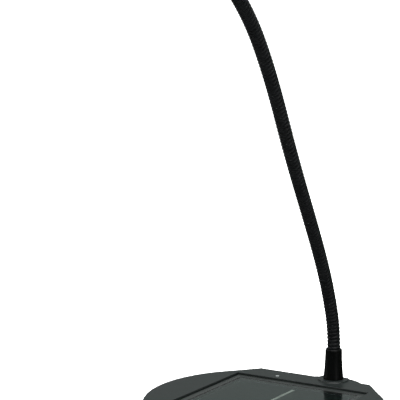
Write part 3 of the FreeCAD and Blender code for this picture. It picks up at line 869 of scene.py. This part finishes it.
class STAND_OT_neck(bpy.types.Operator):
    """Winds the gooseneck, one length of coil for each of its joints"""

    bl_idname = "stand.neck"
    bl_label = "Gooseneck"

    def execute(self, context):
        sizes, colours = context.scene.stand_sizes, context.scene.stand_colours
        finish = blackened_wire("Blackened wire", colours.coil)
        shape = coil_shape()
        middles = link_middles()
        last = len(PIVOTS) - 1
        for number, pivot in enumerate(PIVOTS):
            start, end = middles[number], middles[number + 1]
            piece = shape.grow("neck_coil_%02d" % number, {
                "Start": start, "Bend": pivot, "End": end, "Turns": float(sizes.turns),
                "Lead In": sizes.tuck if number == 0 else 0.0,
                "Lead Out": sizes.tuck if number == last else 0.0,
                "Wire Radius": sizes.round_wire / 2, "Coil Radius": sizes.round_coil,
                "Liner Radius": sizes.liner, "Rib Width": sizes.rib_width,
                "Rib Height": sizes.rib_height,
                "Rib Radius": sizes.neck_radius - sizes.rib_height / 2,
                "Steps per Turn": SAMPLES_PER_TURN, "Material": finish.material})
            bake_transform(piece)
            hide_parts("neck_link_%02d" % number)
        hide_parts("neck_link_%02d" % (last + 1))
        return {"FINISHED"}


class STAND_OT_tip(bpy.types.Operator):
    """Makes the sleeve at the neck's end and the threaded adapter on it"""

    bl_idname = "stand.tip"
    bl_label = "Tip"

    def execute(self, context):
        sizes, colours = context.scene.stand_sizes, context.scene.stand_colours
        upright = TIP_AXIS.to_track_quat("Z", "Y").to_matrix().to_4x4()
        place = Matrix.Translation(NECK_END) @ upright
        finish = plated_steel("Black plated steel", colours.fitting, 0.55, 0.34)
        outer, reach, bore = sizes.ferrule_radius, sizes.ferrule_length, sizes.neck_radius + 0.1 * MM
        edge, groove = sizes.fitting_edge, sizes.ferrule_groove
        stud, stud_end = sizes.stud_radius, reach + sizes.stud_length
        socket = sizes.ferrule_socket
        profile = [(bore, 0.2 * MM), (bore + 0.2 * MM, 0.0)]
        profile += arc((outer - edge, edge), edge, -90, 0)
        for low in (4.0 * MM, 13.0 * MM):
            profile += [(outer, low), (outer - groove, low + groove), (outer - groove, low + 2 * groove),
                        (outer, low + 3 * groove)]
        profile += arc((outer - edge, reach - edge), edge, 0, 90)
        profile += [(stud, reach), (stud, stud_end - edge), (stud - edge, stud_end), (0, stud_end),
                    (0, socket), (bore, socket)]
        sleeve = painted(turned("tip_sleeve", profile, 72, place), finish)
        stands_for(sleeve, NECK_BODIES[-1], "fitting", "tip_ferrule")

        ring, ring_high = sizes.shoulder_radius, sizes.shoulder_length
        root = THREAD_RADIUS - sizes.thread_depth
        top = ring_high + THREAD_LENGTH
        bore = stud + 0.05 * MM
        profile = [(bore, 0.0)] + arc((ring - edge, edge), edge, -90, 0)
        profile += arc((ring - edge, ring_high - edge), edge, 0, 90)
        profile += [(root, ring_high), (root, top - edge), (root - edge, top), (bore + edge, top),
                    (bore, top - edge)]
        seat = place @ Matrix.Translation((0, 0, reach))
        body = painted(turned("adapter_body", profile, 96, seat), finish)
        ridge = thread_shape().grow("adapter_ridge", {
            "Radius": THREAD_RADIUS, "Depth": sizes.thread_depth, "Pitch": sizes.thread_pitch,
            "Length": THREAD_LENGTH, "Material": finish.material})
        ridge.data.transform(seat @ Matrix.Translation((0, 0, ring_high)))
        smoothed(ridge.data)
        stands_for(body, NECK_BODIES[-1], "fitting", "thread_adapter")
        stands_for(ridge, NECK_BODIES[-1], "fitting", "thread_adapter")
        return {"FINISHED"}


class STAND_OT_inside(bpy.types.Operator):
    """Finishes the pieces inside the base"""

    bl_idname = "stand.inside"
    bl_label = "Inside"

    def execute(self, context):
        colours = context.scene.stand_colours
        coat("ballast_plate", plated_steel("Ballast zinc", colours.zinc, 0.9, 0.40))
        coat("neck_screw", plated_steel("Neck screw zinc", colours.zinc, 0.95, 0.30))
        coat("neck_washer", plated_steel("Washer zinc", colours.zinc, 0.95, 0.36))
        coat("base_ferrule", plated_steel("Ferrule steel", colours.fitting, 0.7, 0.34))
        coat("battery_pack", foil_pouch("Battery foil", colours.pouch))
        coat("charge_board", solder_mask("Solder mask", colours.board))
        coat("board_spacers", rubber("Spacer foam", colours.rubber))
        return {"FINISHED"}


class STAND_OT_stage(bpy.types.Operator):
    """Lays the pale floor, hangs the soft lights and sets up the camera"""

    bl_idname = "stand.stage"
    bl_label = "Stage"

    def execute(self, context):
        stage, colours = context.scene.stand_stage, context.scene.stand_colours
        self.floor(stage, colours)
        self.lights(context, stage)
        self.camera(context, stage)
        context.scene.view_settings.view_transform = "Standard"
        return {"FINISHED"}

    def floor(self, stage, colours):
        """A flat disc whose rim turns up all round."""
        bend = stage.floor_rise
        profile = [(0, 0.0)] + arc((stage.floor_radius, bend), bend, -90, 0, 16)
        wall = 0.05
        profile += [(stage.floor_radius + bend + wall, bend), (stage.floor_radius + bend + wall, -wall),
                    (0, -wall)]
        floor = turned("floor", profile, 96)
        finish = Finish("Pale floor", Roughness=0.9, Specular_IOR_Level=0.1,
                        Emission_Color=(1.0, 1.0, 1.0, 1.0), Emission_Strength=stage.floor_glow)
        finish.set("Base Color", list(colours.floor))
        painted(floor, finish)
        floor.visible_glossy = False

    def lights(self, context, stage):
        """An overhead soft box, two tall ones beside the stand, and the room."""
        neck = NECK_START
        boxes = [
            ("key_light", (0.15, -0.25, 1.5), (0.0, 0.0, 0.02), 1.3, 1.3, stage.key_power),
            ("left_light", (-1.3, -0.35, 0.55), (neck.x, neck.y, 0.12), 0.35, 1.1, stage.side_power),
            ("right_light", (1.25, -0.55, 0.50), (neck.x, neck.y, 0.12), 0.30, 1.1, stage.side_power),
        ]
        for name, place, aim, width, height, power in boxes:
            data = bpy.data.lights.new(name, "AREA")
            data.shape = "RECTANGLE"
            data.size, data.size_y = width, height
            data.energy = power
            light = put(name, data)
            light.location = place
            light.rotation_euler = (Vector(aim) - Vector(place)).to_track_quat("-Z", "Y").to_euler()
        world = bpy.data.worlds.new("Room")
        world.use_nodes = True
        context.scene.world = world
        room = Nodes(world.node_tree)
        way = room.add("ShaderNodeTexCoord", output="Generated")
        up = room.add("ShaderNodeSeparateXYZ", sockets={"Vector": way}, output="Z")
        share = room.add("ShaderNodeMapRange", sockets={
            "Value": up, "From Min": -0.05, "From Max": 0.22})
        back = world.node_tree.nodes["Background"]
        back.inputs["Color"].default_value = (0.93, 1.0, 0.975, 1.0)
        room.feed(back.inputs["Strength"], 0.03 + share * (stage.sky - 0.03))

    def camera(self, context, stage):
        data = bpy.data.cameras.new("camera")
        data.sensor_width = 36.0
        data.lens = stage.lens_mm
        data.clip_start = 0.01
        camera = put("camera", data)
        camera.location = stage.camera_place
        camera.rotation_euler = Vector(stage.camera_aim).to_track_quat("-Z", "Y").to_euler()
        context.scene.camera = camera


class STAND_PT_sidebar(bpy.types.Panel):
    """Sizes, colours and the build steps"""

    bl_idname = "STAND_PT_sidebar"
    bl_label = "Microphone stand"
    bl_space_type = "VIEW_3D"
    bl_region_type = "UI"
    bl_category = "Mic stand"

    def draw(self, context):
        for operator in OPERATORS:
            self.layout.operator(operator.bl_idname)
        for group in (context.scene.stand_sizes, context.scene.stand_colours, context.scene.stand_stage):
            box = self.layout.box()
            for name in group.__annotations__:
                box.prop(group, name)


OPERATORS = (STAND_OT_stage, STAND_OT_shell, STAND_OT_feet, STAND_OT_panel, STAND_OT_indicator,
             STAND_OT_collar, STAND_OT_neck, STAND_OT_tip, STAND_OT_inside)
CLASSES = (StandSizes, StandColours, StageSettings, *OPERATORS, STAND_PT_sidebar)


def register():
    for cls in CLASSES:
        bpy.utils.register_class(cls)
    bpy.types.Scene.stand_sizes = PointerProperty(type=StandSizes)
    bpy.types.Scene.stand_colours = PointerProperty(type=StandColours)
    bpy.types.Scene.stand_stage = PointerProperty(type=StageSettings)


def unregister():
    del bpy.types.Scene.stand_sizes
    del bpy.types.Scene.stand_colours
    del bpy.types.Scene.stand_stage
    for cls in reversed(CLASSES):
        bpy.utils.unregister_class(cls)


def main():
    register()
    bpy.ops.stand.stage()
    bpy.ops.stand.shell()
    bpy.ops.stand.feet()
    bpy.ops.stand.panel()
    bpy.ops.stand.indicator()
    bpy.ops.stand.collar()
    bpy.ops.stand.neck()
    bpy.ops.stand.tip()
    bpy.ops.stand.inside()
    bpy.context.view_layer.update()


if __name__ == "__main__":
    main()
